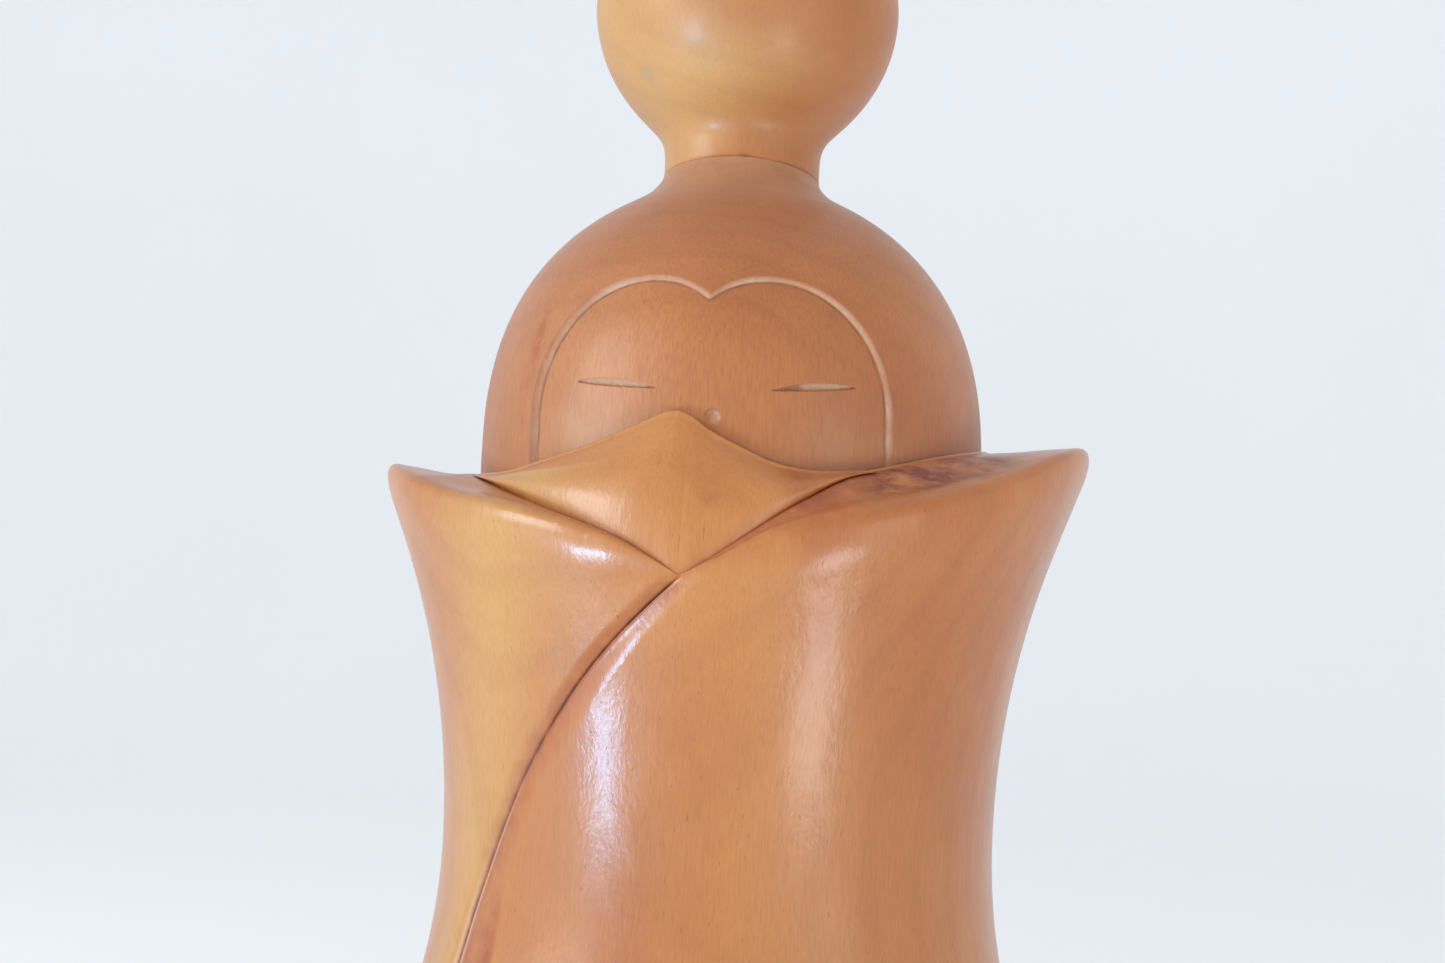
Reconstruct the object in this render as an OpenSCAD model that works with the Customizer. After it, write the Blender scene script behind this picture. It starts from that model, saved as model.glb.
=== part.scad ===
// Turned and carved wooden doll: a robe with a wrapped collar, a head that turns in it, and a topknot.
// Millimetres. Origin: centre of the flat base. +Z up, the collar's V faces -Y, the doll's own left is +X.
// Angles round the doll are measured from -Y towards +X.

/* [Robe] */
// Radius at the waist
waist_r = 49.4; // [48:0.1:53]
// Height of the waist above the base
waist_z = 66.5; // [60:0.5:72]
// Radius of the arc that the side follows above the waist
flare_arc = 151; // [145:1:200]
// Radius of the arc that the side follows below the waist
skirt_arc = 105; // [95:1:130]
// Height where the skirt's arc becomes a straight flare
skirt_break_z = 45; // [35:1:50]
// Radius of the rounded bottom edge
base_edge = 4; // [2:0.5:6]
// Radius of the round nose along the collar's fold
fold_round = 4; // [3:0.25:5]
// Depth of the carved step along the lapel
lapel_step = 1.3; // [0.6:0.1:1.8]

/* [Seat] */
// Radius of the recess that the head sits in
seat_r = 46.3; // [46:0.1:46.8]
// Height of the recess floor
seat_z = 114; // [111:0.5:118]
// Thickness of the collar's lip beside the head
lip_wall = 1.4; // [1.2:0.1:2]

/* [Head] */
// Largest radius of the head
head_r = 45.6; // [43:0.1:45.7]
// Height of the head's widest ring
head_wide_z = 134; // [131:0.5:136]
// Rise of the dome above the widest ring
dome_h = 52.4; // [51:0.1:53]
// Fullness of the dome, where 2 is an ellipse
dome_power = 2.5; // [2.2:0.1:2.8]
// Radius of the neck below the topknot
neck_r = 14.4; // [13:0.1:16]
// Height of the joint between head and topknot
seam_z = 188.5; // [188:0.5:190]
// Angle that the face is turned to
face_turn = 5; // [-180:1:180]
// Depth that the face lies below the hair
hair_step = 0.7; // [0.4:0.1:1.2]

/* [Topknot] */
// Largest radius of the topknot
knot_r = 28; // [25:0.1:30]
// Height of the topknot's widest ring
knot_wide_z = 221; // [219:0.5:223]
// Rise of the topknot above its widest ring
knot_up = 22; // [20:0.5:25]
// Drop of the topknot's curve below its widest ring
knot_down = 27.2; // [26:0.1:28]

/* [Pegs] */
// Radius of the neck peg
peg_r = 9; // [6:0.5:12]
// Length of the neck peg in the head
peg_in_head = 18; // [12:1:24]
// Length of the neck peg in the robe
peg_in_robe = 24; // [16:1:30]
// Radius of the topknot dowel
dowel_r = 5; // [3:0.5:7]
// Length of the topknot dowel on each side of the joint
dowel_half = 15; // [10:1:18]
// Radial gap of the peg that turns in the robe
turn_gap = 0.05; // [0.02:0.01:0.1]
// Radial gap for the glue
glue_gap = 0.03; // [0.02:0.01:0.05]

/* [Hidden] */
$fn = 96;

robe_colour = [0.72, 0.42, 0.22];
head_colour = [0.66, 0.37, 0.21];
knot_colour = [0.82, 0.56, 0.27];
peg_colour = [0.80, 0.66, 0.46];

lift = 0.2;          // the head's underside stands this far above the recess floor
peg_chamfer = 1;     // bevel on each end of a peg
end_gap = 1;         // room past the end of a peg, where the spare glue goes
head_edge = 2.5;     // bevel round the head's underside
clear = 1;           // how far a cutter runs past the face that it opens
tall = 80;           // length of a cutter that goes right through

// ---- the robe's lines, each a smooth curve through points [angle, height] ----
v_angle = 1.6;       // where the collar's V points, and the lapel starts
v_z = 111.2;
scarf_from = -56.5;  // the scarf shows between these angles
scarf_to = 38;
peak_angle = -1.2;   // where the scarf's top edge is highest
// The fold runs from the V up over the right wing, round the back and the left wing, and down to the V
fold_line = [[1.6, 112], [8, 113.4], [15, 116.2], [26, 120.1], [35, 122.3], [44, 124.5], [52, 127.3],
    [62, 131.2], [75, 136.4], [88, 139.3], [105, 138.8], [140, 134], [180, 130], [220, 128.6], [243, 129.4],
    [262, 132.4], [276, 133.8], [288, 132.6], [301, 129.3], [314, 125.4], [329, 123], [339, 121.3],
    [348, 119], [355, 115.8], [361.6, 112]];
// The collar's inner edge beside the head, from the scarf's right end round the back to its left end
collar_line = [[38, 130.6], [45, 132], [55, 134], [70, 136.3], [88, 137.8], [120, 137], [180, 133.5],
    [230, 131], [262, 130.5], [290, 130.6], [303.5, 130]];
// The scarf's top edge climbs to a peak in front of the mouth, straight on one side, hollow on the other
scarf_right = [[-1.2, 138.8], [1.5, 137.8], [5, 135.7], [11, 133.2], [18, 130.8], [26, 129.9], [38, 130.6]];
scarf_left = [[-56.5, 130], [-44, 129.8], [-35, 130.8], [-22, 133], [-11, 136.1], [-4, 138.5], [-1.2, 138.8]];
// Where the scarf goes under the robe, to the right and left of the V
tuck_right = [[1.6, 111.2], [7, 114.9], [17, 121.5], [24, 125.3], [31, 128.5], [38, 130.4]];
tuck_left = [[-56.5, 129.9], [-41, 126.6], [-24, 122.2], [-9, 117.3], [-3, 114.2], [1.6, 111.2]];
// The lapel's edge from the base up to the V, as points [height, angle]
lapel_line = [[0, -55], [20, -53], [45, -48], [58, -43.8], [76, -33], [92, -19.5], [101, -10.3],
    [111.2, 1.6]];

// ---- plain curve tools ----
function span(p, x, i = 0) = (i >= len(p) - 2 || x < p[i + 1][0]) ? i : span(p, x, i + 1);
function rise(a, b) = (b[1] - a[1]) / (b[0] - a[0]);
function slope(p, i) = rise(p[max(i - 1, 0)], p[min(i + 1, len(p) - 1)]);
function curve(p, x) =
    let (i = span(p, x), w = p[i + 1][0] - p[i][0], t = min(max((x - p[i][0]) / w, 0), 1))
    (1 + 2 * t) * pow(1 - t, 2) * p[i][1] + t * t * (3 - 2 * t) * p[i + 1][1]
    + w * t * (1 - t) * ((1 - t) * slope(p, i) - t * slope(p, i + 1));
function mix(a, b, t) = a * (1 - t) + b * t;
function ease(t) = let (c = min(max(t, 0), 1)) c * c * (3 - 2 * c);
function soft_max(a, b, k) = (a + b + sqrt((a - b) * (a - b) + k * k)) / 2;

// ---- the robe's surface ----
function arc_in(arc, d) = arc - sqrt(arc * arc - d * d);
skirt_drop = waist_z - skirt_break_z;
skirt_slope = skirt_drop / sqrt(skirt_arc * skirt_arc - skirt_drop * skirt_drop);
// Above shoulder_z the wings stand a little more upright than the arc
shoulder_z = 120;
upright = 0.0035;
function flare_out(z) = arc_in(flare_arc, z - waist_z) - upright * pow(max(z - shoulder_z, 0), 2);
function skirt_out(z) = z > skirt_break_z ? arc_in(skirt_arc, waist_z - z)
    : arc_in(skirt_arc, skirt_drop) + (skirt_break_z - z) * skirt_slope;
function side_r(z) = waist_r + (z > waist_z ? flare_out(z) : skirt_out(z));

function from_v(a) = a < v_angle ? a + 360 : a;
function in_front(a) = a > 180 ? a - 360 : a;
function is_scarf(a) = a > scarf_from && a < scarf_to;
function fold_z(a) = curve(fold_line, from_v(a));
function lip_z(a) = !is_scarf(a) ? curve(collar_line, from_v(a))
    : a < peak_angle ? curve(scarf_left, a) : curve(scarf_right, a);
function tuck_z(a) = !is_scarf(a) ? lip_z(a) - lip_step
    : a < v_angle ? curve(tuck_left, a) : curve(tuck_right, a);
lip_r = seat_r + lip_wall;
lip_step = 0.3;      // where no scarf shows, the collar meets its lip at this step
v_r = 56;            // how far out the V's point lies
tuck_out = 0.5;      // the scarf's ends lie this far outside the lip
tuck_power = 0.8;    // how soon the scarf's edge runs in from the V
// How far an angle lies from the V towards the scarf's end, from 0 to 1
function from_v_part(a) = (a - v_angle) / ((a > v_angle ? scarf_to : scarf_from) - v_angle);
function tuck_r(a) = mix(v_r, lip_r + tuck_out, is_scarf(a) ? pow(from_v_part(a), tuck_power) : 1);
function lapel_a(z) = curve(lapel_line, min(z, v_z));

// Depth of the carving at a distance d round the robe from the lapel's edge, on the upper panel if d > 0
upper_share = 0.4;   // the upper panel's edge is rounded off by this share of the step
upper_w = 4;
lower_w = 14;
function lapel_cut(d) = d > 0 ? upper_share * lapel_step * (1 - ease(d / upper_w))
    : lapel_step * pow(1 - ease(-d / lower_w), 2);
// The carving fades out just above the V, where the scarf starts
fade_from = 1;
fade_h = 3;
function lapel_fade(z) = 1 - ease((z - v_z + fade_from) / fade_h);

side_rows = 14;
round_rows = 4;
top_rows = 4;
scarf_rows = 5;
columns = 84;
crowding = 0.78;     // how much closer the columns stand at the lapel than at the back
lapel_gap = 0.3;     // angle that the step at the lapel is spread over
tuck_dip = 0.7;      // how far the scarf dips where it goes under the robe
scarf_bulge = 1.5;   // how far the scarf swells between its two edges
lip_bevel = 0.6;     // bevel along the collar's lip
lip_drop = 0.2;      // fall of the collar's top towards the recess
edge_bulge = 0.3;    // how round the bottom edge is, where 0.5 is a plain bevel
round_share = 0.8;   // share of the collar's top that the fold's round nose may take
least_round = 0.3;
least_land = 0.2;

// Point on the robe at column angle u, radius r and height z; columns lean with the lapel's edge
function place(u, r, z) =
    let (a = u + (lapel_a(z) - v_angle) * (1 - abs(u - v_angle) / 180)) [r * sin(a), -r * cos(a), z];
function bend(a, b, c, t) = mix(mix(a, b, t), mix(b, c, t), t);

function side_at(u, z) =
    let (a = abs(lapel_a(z) - v_angle) / 180, d = (u - v_angle) * PI / 180 * side_r(z) * (1 - a))
    [side_r(z) - lapel_cut(d) * lapel_fade(z), z];
function column(u) =
    let (
        fz = fold_z(u),
        fold = [side_r(fz), fz],
        tuck = [tuck_r(u), tuck_z(u)],
        reach = min(fold_round, (fold[0] - tuck[0]) * round_share + least_round),
        below = side_at(u, fz - 2 * reach),
        inward = mix(fold, tuck, reach / max(norm(fold - tuck), reach + least_land)),
        lip = [lip_r, lip_z(u)],
        foot = side_r(base_edge)
    )
    concat(
        [[foot - base_edge, 0], [foot - edge_bulge * base_edge, edge_bulge * base_edge]],
        [for (i = [0:side_rows - 1]) side_at(u, mix(base_edge, below[1], i / side_rows))],
        [for (i = [0:round_rows]) bend(below, fold, inward, i / round_rows)],
        [for (i = [1:top_rows]) let (t = i / top_rows)
            [mix(inward[0], tuck[0], t), mix(inward[1], tuck[1], ease(t))]],
        [for (i = [1:scarf_rows])
            let (t = i / scarf_rows, swell = is_scarf(u) ? 4 * scarf_bulge * t * (1 - t) : 0)
            mix(tuck - [tuck_dip, 0], lip - [0, lip_bevel], t) + [swell, 0]],
        [lip - [lip_bevel, 0], [seat_r - clear, lip[1] - lip_drop], [seat_r - 3 * clear, lip[1] - clear]]
    );

column_u = [for (i = [0:columns - 1]) let (t = i / (columns - 1))
    v_angle + in_front((360 - lapel_gap) * (t - crowding * sin(360 * t) / (2 * PI)))];
rows = len(column(0));
robe_points = concat(
    [[0, 0, 0], [0, 0, seat_z + 2 * clear]],
    [for (u = column_u) for (p = column(u)) place(u, p[0], p[1])]
);
function at(i, j) = 2 + (i % columns) * rows + j;
robe_faces = concat(
    [for (i = [0:columns - 1]) [0, at(i + 1, 0), at(i, 0)]],
    [for (i = [0:columns - 1]) [1, at(i, rows - 1), at(i + 1, rows - 1)]],
    [for (i = [0:columns - 1]) for (j = [0:rows - 2]) [at(i, j), at(i + 1, j), at(i, j + 1)]],
    [for (i = [0:columns - 1]) for (j = [0:rows - 2]) [at(i + 1, j), at(i + 1, j + 1), at(i, j + 1)]]
);

// ---- the turned profiles ----
head_blend = 5.5;    // how gently the neck runs into the head
knot_blend = 5;      // how gently the neck runs into the topknot
neck_zone = 20;      // height below the joint where the profile turns into the neck
profile_steps = 16;  // points along each stretch of a profile
dome_soft = 0.03;    // how softly the dome's curve runs out at its top
knot_soft = 0.08;    // how softly the topknot's curve runs out at its foot
fillet = 1.2;        // how far the neck swells where the dome runs into it
fillet_drop = 2.9;   // depth of that swelling's middle below the joint
fillet_h = 2;        // height over which it fades
function dome_r(z) =
    head_r * sqrt(soft_max(1 - pow(abs(z - head_wide_z) / dome_h, dome_power), 0, dome_soft));
// A turned radius r that runs smoothly into the neck's, which is neck_r where r is 0
function into_neck(r, blend) = soft_max(r, neck_r - blend * blend / (4 * neck_r), blend);
function head_profile_r(z) = into_neck(dome_r(z), head_blend)
    + fillet * exp(-pow((z - seam_z + fillet_drop) / fillet_h, 2));
function knot_ball_r(z) = knot_r * sqrt(soft_max(1 - pow((z - knot_wide_z) / knot_down, 2), 0, knot_soft));

module head_turning(inset) {
    under = seat_z + lift;
    heights = [under + head_edge, seam_z - neck_zone, seam_z];
    rotate_extrude()
        polygon(concat(
            [[0, under], [head_profile_r(under) - head_edge - inset, under]],
            [for (k = [0:1]) for (i = [k:profile_steps])
                let (z = mix(heights[k], heights[k + 1], i / profile_steps)) [head_profile_r(z) - inset, z]],
            [[0, seam_z]]
        ));
}

module peg(r, z0, z1) {
    rotate_extrude()
        polygon([[0, z0], [r - peg_chamfer, z0], [r, z0 + peg_chamfer], [r, z1 - peg_chamfer],
            [r - peg_chamfer, z1], [0, z1]]);
}

// Outline of the face seen from in front: straight sides and two arches that meet in a cleft
face_foot_z = 121;   // the face is cut down to here, inside the collar
face_half_w = 30.5;
arch_top_z = 162.4;
arch_x = 10.4;
arch_z = 139;
cleft_z = 158.5;
hairline_turn = -1.8; // angle from the middle of the eyes to the middle of the hairline
module face_outline() {
    side = concat(
        [[face_half_w, face_foot_z]],
        [for (t = [0:15:90])
            [arch_x + (face_half_w - arch_x) * cos(t), arch_z + (arch_top_z - arch_z) * sin(t)]],
        [for (t = [30:30:60]) [arch_x * (1 - sin(t)), cleft_z + (arch_top_z - cleft_z) * cos(t)]]
    );
    polygon(concat(side, [[0, cleft_z]], [for (i = [len(side) - 1:-1:0]) [-side[i][0], side[i][1]]]));
}

// Everything in front of the head, inside the face's outline
module face_prism() {
    rotate([90, 0, hairline_turn]) linear_extrude(height = tall) face_outline();
}

eye_w = 14;
eye_h = 1.8;
eye_angle = 21.7;
eye_z = 143.7;
eye_depth = 1.2;
nose_r = 1.6;
nose_z = 138.1;
nose_depth = 0.7;
// Lens-shaped cut for a closed eye
module eye(side) {
    arc = (eye_w * eye_w / 4 + eye_h * eye_h / 4) / eye_h;
    rotate([0, 0, side * eye_angle])
        translate([0, 0, eye_z])
            rotate([90, 0, 0])
                translate([0, 0, head_profile_r(eye_z) - hair_step - eye_depth])
                    linear_extrude(height = tall)
                        intersection() {
                            translate([0, arc - eye_h / 2]) circle(r = arc);
                            translate([0, eye_h / 2 - arc]) circle(r = arc);
                        }
}

module robe() {
    color(robe_colour)
        difference() {
            polyhedron(points = robe_points, faces = robe_faces, convexity = 10);
            translate([0, 0, seat_z]) cylinder(r = seat_r, h = tall);
            translate([0, 0, seat_z - peg_in_robe - end_gap])
                cylinder(r = peg_r + turn_gap, h = peg_in_robe + end_gap + clear);
        }
}

module head() {
    color(head_colour)
        difference() {
            head_turning(0);
            rotate([0, 0, face_turn]) {
                intersection() {
                    face_prism();
                    difference() {
                        translate([0, 0, seat_z - clear]) cylinder(r = head_r + 5 * clear, h = tall);
                        head_turning(hair_step);
                    }
                }
                for (side = [-1, 1]) eye(side);
                translate([0, hair_step + nose_depth - nose_r - head_profile_r(nose_z), nose_z])
                    sphere(r = nose_r);
            }
            translate([0, 0, seat_z - clear])
                cylinder(r = peg_r + glue_gap, h = peg_in_head + lift + end_gap + clear);
            translate([0, 0, seam_z - dowel_half - end_gap])
                cylinder(r = dowel_r + glue_gap, h = dowel_half + end_gap + clear);
        }
}

module topknot() {
    wide_r = into_neck(knot_ball_r(knot_wide_z), knot_blend);
    color(knot_colour)
        difference() {
            rotate_extrude()
                polygon(concat(
                    [[0, seam_z]],
                    [for (i = [0:2 * profile_steps - 1])
                        let (z = mix(seam_z, knot_wide_z, i / (2 * profile_steps)))
                        [into_neck(knot_ball_r(z), knot_blend), z]],
                    [for (t = [0:8:80]) [wide_r * cos(t), knot_wide_z + knot_up * sin(t)]],
                    [[0, knot_wide_z + knot_up]]
                ));
            translate([0, 0, seam_z - clear])
                cylinder(r = dowel_r + glue_gap, h = dowel_half + end_gap + clear);
        }
}

module neck_peg() {
    color(peg_colour) peg(peg_r, seat_z - peg_in_robe, seat_z + lift + peg_in_head);
}

module topknot_dowel() {
    color(peg_colour) peg(dowel_r, seam_z - dowel_half, seam_z + dowel_half);
}

robe();
head();
topknot();
neck_peg();
topknot_dowel();
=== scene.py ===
import math

import bpy
import numpy as np
from mathutils import Matrix, Vector


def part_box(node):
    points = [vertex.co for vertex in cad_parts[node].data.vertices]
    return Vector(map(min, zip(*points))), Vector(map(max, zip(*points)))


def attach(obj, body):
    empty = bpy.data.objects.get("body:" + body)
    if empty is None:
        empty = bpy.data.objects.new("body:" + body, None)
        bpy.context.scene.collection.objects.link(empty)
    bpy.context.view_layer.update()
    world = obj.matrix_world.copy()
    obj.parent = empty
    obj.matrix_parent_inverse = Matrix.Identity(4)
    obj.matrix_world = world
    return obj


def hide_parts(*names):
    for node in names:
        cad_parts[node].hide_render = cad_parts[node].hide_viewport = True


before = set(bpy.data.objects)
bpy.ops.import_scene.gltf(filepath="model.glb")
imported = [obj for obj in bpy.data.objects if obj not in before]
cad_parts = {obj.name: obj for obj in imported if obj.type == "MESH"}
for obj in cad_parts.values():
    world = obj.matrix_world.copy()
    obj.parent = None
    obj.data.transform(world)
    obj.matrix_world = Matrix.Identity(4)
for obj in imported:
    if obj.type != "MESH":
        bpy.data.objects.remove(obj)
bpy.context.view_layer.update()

# A turned and carved wooden doll. Lengths below are millimetres, angles are degrees measured round the doll
# from -Y towards +X, and MM turns a length into the frame's metres. The camera, the lights and the materials
# are in metres.
MM = 0.001

# ---- driving sizes, taken from the frame ----
head_low, head_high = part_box("head")
knot_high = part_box("topknot")[1]
SEAT_GAP = 0.2       # the head's underside stands this far above the floor of the robe's recess
UNDER_Z = head_low[2] / MM
SEAT_Z = UNDER_Z - SEAT_GAP
SEAM_Z = head_high[2] / MM
KNOT_TOP = knot_high[2] / MM
NECK_R = 14.4
HEAD_BLEND = 5.5     # how gently the neck runs into the head
KNOT_BLEND = 5.0     # how gently the neck runs into the topknot


# ---- plain curve tools ----
def curve(points, x):
    """Height of the smooth curve through the [x, height] points, at each x."""
    p = np.array(points, float)
    x = np.asarray(x, float)
    last = len(p) - 1
    before = np.maximum(np.arange(last + 1) - 1, 0)
    after = np.minimum(np.arange(last + 1) + 1, last)
    slope = (p[after, 1] - p[before, 1]) / (p[after, 0] - p[before, 0])
    i = np.clip(np.searchsorted(p[:, 0], x, side="right") - 1, 0, last - 1)
    w = p[i + 1, 0] - p[i, 0]
    t = np.clip((x - p[i, 0]) / w, 0, 1)
    ends = (1 + 2 * t) * (1 - t) ** 2 * p[i, 1] + t * t * (3 - 2 * t) * p[i + 1, 1]
    return ends + w * t * (1 - t) * ((1 - t) * slope[i] - t * slope[i + 1])


def mix(a, b, t):
    """a at t = 0 and b at t = 1."""
    return a * (1 - t) + b * t


def bend(a, b, c, t):
    """A smooth bend from a to c that heads for b."""
    return mix(mix(a, b, t), mix(b, c, t), t)


def ease(t):
    """A smooth step from 0 at t = 0 to 1 at t = 1."""
    c = np.clip(t, 0, 1)
    return c * c * (3 - 2 * c)


def soft_max(a, b, k):
    """The larger of a and b, rounded where one takes over from the other."""
    return (a + b + np.sqrt((a - b) ** 2 + k * k)) / 2


def into_neck(r, blend):
    """A turned radius that runs smoothly into the neck's."""
    return soft_max(r, NECK_R - blend**2 / (4 * NECK_R), blend)


def bell(x, width):
    """1 at x = 0, falling to nothing a few widths away."""
    return np.exp(-((x / width) ** 2))


def spot(angle, z, at_angle, at_z, half_angle, half_z):
    """1 at a place on the surface, falling off round it."""
    away = (angle - at_angle + 180) % 360 - 180
    return bell(away, half_angle) * bell(z - at_z, half_z)


def spots(angle, z, places):
    """Several spots, each given as its strength and then its place and size."""
    return sum(strength * spot(angle, z, *place) for strength, *place in places)


def ripple(angle, z, count, height, seed):
    """A slow handmade waviness from -1 to 1: a few waves round and along the doll."""
    waves = np.random.default_rng(seed)
    total = np.zeros(np.broadcast(angle, z).shape)
    for _ in range(count):
        around = waves.integers(2, 9)
        along = waves.uniform(0.3, 1.0) * 2 * math.pi / height
        phase = waves.uniform(0, 2 * math.pi)
        total = total + np.sin(np.radians(angle) * around + z * along + phase)
    return total / count


# ---- meshes from rings of points ----
SHARP_ANGLE = 50     # edges that bend by more than this stay sharp


def lathe_point(angle, r, z):
    a = np.radians(angle)
    return np.stack([r * np.sin(a), -r * np.cos(a), z + 0 * r * a], axis=-1)


def grid_mesh(name, rings, end_low, end_high, marks):
    """A closed mesh from rings of points, one row each, with a point on the axis at each end. A mark is a
    number from 0 to 1 at each point of the rings, and the materials read it by its name."""
    rows, columns = rings.shape[:2]
    points = np.concatenate([rings.reshape(-1, 3), [end_low, end_high]]) * MM
    at = np.arange(rows * columns).reshape(rows, columns)
    beside = np.roll(at, -1, axis=1)
    quads = np.stack([at[:-1], beside[:-1], beside[1:], at[1:]], axis=-1).reshape(-1, 4)
    low = np.full(columns, rows * columns)
    low_fan = np.stack([low, beside[0], at[0]], axis=1)
    high_fan = np.stack([low + 1, at[-1], beside[-1]], axis=1)
    mesh = bpy.data.meshes.new(name)
    mesh.from_pydata(points.tolist(), [], quads.tolist() + low_fan.tolist() + high_fan.tolist())
    mesh.polygons.foreach_set("use_smooth", [True] * len(mesh.polygons))
    for mark, values in marks.items():
        layer = mesh.attributes.new(mark, "FLOAT", "POINT")
        layer.data.foreach_set("value", np.append(np.clip(values, 0, 1).ravel(), [0, 0]).astype(np.float32))
    mesh.set_sharp_from_angle(angle=math.radians(SHARP_ANGLE))
    mesh.update()
    piece = bpy.data.objects.new(name, mesh)
    bpy.context.scene.collection.objects.link(piece)
    return piece


# ---- the robe's lines, each a smooth curve through [angle, height] points ----
V_ANGLE = 1.6        # where the collar's V points, and the lapel starts
V_Z = 111.2
SCARF_FROM = -56.5   # the scarf shows between these angles
SCARF_TO = 38.0
PEAK_ANGLE = -1.2    # where the scarf's top edge is highest
FOLD_LINE = [[1.6, 112], [8, 113.4], [15, 116.2], [26, 120.1], [35, 122.3], [44, 124.5], [52, 127.3],
             [62, 131.2], [75, 136.4], [88, 139.3], [105, 138.8], [140, 134], [180, 130], [220, 128.6],
             [243, 129.4], [262, 132.4], [276, 133.8], [288, 132.6], [301, 129.3], [314, 125.4], [329, 123],
             [339, 121.3], [348, 119], [355, 115.8], [361.6, 112]]
COLLAR_LINE = [[38, 130.6], [45, 132], [55, 134], [70, 136.3], [88, 137.8], [120, 137], [180, 133.5],
               [230, 131], [262, 130.5], [290, 130.6], [303.5, 130]]
SCARF_RIGHT = [[-1.2, 138.8], [1.5, 137.8], [5, 135.7], [11, 133.2], [18, 130.8], [26, 129.9], [38, 130.6]]
SCARF_LEFT = [[-56.5, 130], [-44, 129.8], [-35, 130.8], [-22, 133], [-11, 136.1], [-4, 138.5],
              [-1.2, 138.8]]
TUCK_RIGHT = [[1.6, 111.2], [7, 114.9], [17, 121.5], [24, 125.3], [31, 128.5], [38, 130.4]]
TUCK_LEFT = [[-56.5, 129.9], [-41, 126.6], [-24, 122.2], [-9, 117.3], [-3, 114.2], [1.6, 111.2]]
# the lapel's edge, which climbs, is the other way round: [height, angle] points
LAPEL_LINE = [[0, -55], [20, -53], [45, -48], [58, -43.8], [76, -33], [92, -19.5], [101, -10.3],
              [111.2, 1.6]]

# ---- the robe's side: an arc above the waist, an arc and a straight flare below it ----
WAIST_R = 49.4
WAIST_Z = 66.5
FLARE_ARC = 151.0
SKIRT_ARC = 105.0
SKIRT_BREAK_Z = 45.0
SKIRT_DROP = WAIST_Z - SKIRT_BREAK_Z
SKIRT_SLOPE = SKIRT_DROP / math.sqrt(SKIRT_ARC**2 - SKIRT_DROP**2)
SHOULDER_Z = 120.0   # above this height the flare turns a little more upright
UPRIGHT = 0.0035

# ---- the robe's carving ----
BASE_EDGE = 4.0      # radius of the bottom edge
FOLD_ROUND = 4.0     # size of the round nose along the collar's outer edge
NOSE_SHARE = 0.8     # share of the collar's top that the nose may take
LEAST_ROUND = 0.3
LEAST_LAND = 0.2
SEAT_R = 46.3        # the recess that the head sits in
LIP_WALL = 1.4
LIP_R = SEAT_R + LIP_WALL
LIP_ROUND = 0.6
LIP_STEP = 0.3       # where no scarf shows, the collar meets its lip at this step
V_R = 56.0           # how far out the V's point lies
TUCK_OUT = 0.5       # the scarf's ends lie this far outside the lip
SCARF_SOFT = 0.12    # how round the scarf's lower edge is at the V
TUCK_DIP = 0.3       # how far the scarf dips inwards where it goes under the collar
TUCK_SINK = 0.15     # how far it sinks there
SCARF_BULGE = 2.1    # how far the scarf swells between its two edges
EDGE_ROLL = 0.2      # how far the collar's top rolls over beside the scarf
ROLL_WIDTH = 1.3
PEG_BORE_R = 9.05
PEG_BORE_DEPTH = 25.0
SKIN_WAVE = 0.05     # height of the waviness that handwork leaves
DENT = [0.07, 29, 83, 1.1, 0.7]    # a small dent: depth, angle, height, half angle, half height
# the steps down to the lapel's edge on the upper and the lower panel, each a depth and the width that it
# falls over, and the groove along the edge
UPPER_FALLS = [[0.45, 4.5], [0.30, 0.8]]
LOWER_FALLS = [[0.60, 3.5], [0.45, 20]]
GROOVE_DEPTH = 0.28
GROOVE_W = 0.50
FADE_FROM = 1        # the lapel's carving fades out from this far below the V
FADE_H = 3
OFF_V_FROM = 0.6     # the dip and the roll beside the scarf start this many degrees from the V
OFF_V_OVER = 4
LAPEL_GAP = 0.1      # angle that the step at the lapel is spread over
CROWDING = 0.9       # how much closer the columns of points stand at the lapel than at the back
ROBE_COLUMNS = 480
UNDERSIDE_R = 8      # innermost ring of the underside
UNDERSIDE_ROWS = 8
EDGE_ROWS = 9
SIDE_ROWS = 130
NOSE_ROWS = 16
TOP_ROWS = 26
SCARF_ROWS = 34
SCARF_CROWDING = 1.5     # how much closer the scarf's rows stand where it goes under the collar
LIP_ROWS = 6
LIP_EDGE = 0.3       # the lip's inner edge is broken by this much
WALL_ROWS = 8
FLOOR_RINGS = [40, 30, 20, 12]
SKIN_FROM = 16       # the waviness leaves out this many rows at the foot, and this many at the lip
SKIN_TO = 14
SCARF_SPOTS = [[0.3, 6, 124, 2, 1.2], [0.4, 22, 128, 4, 2]]


def from_v(a):
    """Angles counted all the way round from the V."""
    return np.where(a < V_ANGLE, a + 360, a)


def is_scarf(a):
    return (a > SCARF_FROM) & (a < SCARF_TO)


def arc_in(arc, d):
    """How far an arc of that radius has turned aside at a distance d along it."""
    return arc - np.sqrt(arc * arc - d * d)


def side_r(z):
    """The robe's turned radius at a height, before the carving."""
    z = np.asarray(z, float)
    above = np.maximum(z - WAIST_Z, 0)
    flare = arc_in(FLARE_ARC, above) - UPRIGHT * np.maximum(z - SHOULDER_Z, 0) ** 2
    below = np.clip(WAIST_Z - z, 0, SKIRT_DROP)
    skirt = arc_in(SKIRT_ARC, below) + np.maximum(SKIRT_BREAK_Z - z, 0) * SKIRT_SLOPE
    return WAIST_R + flare + skirt


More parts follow.
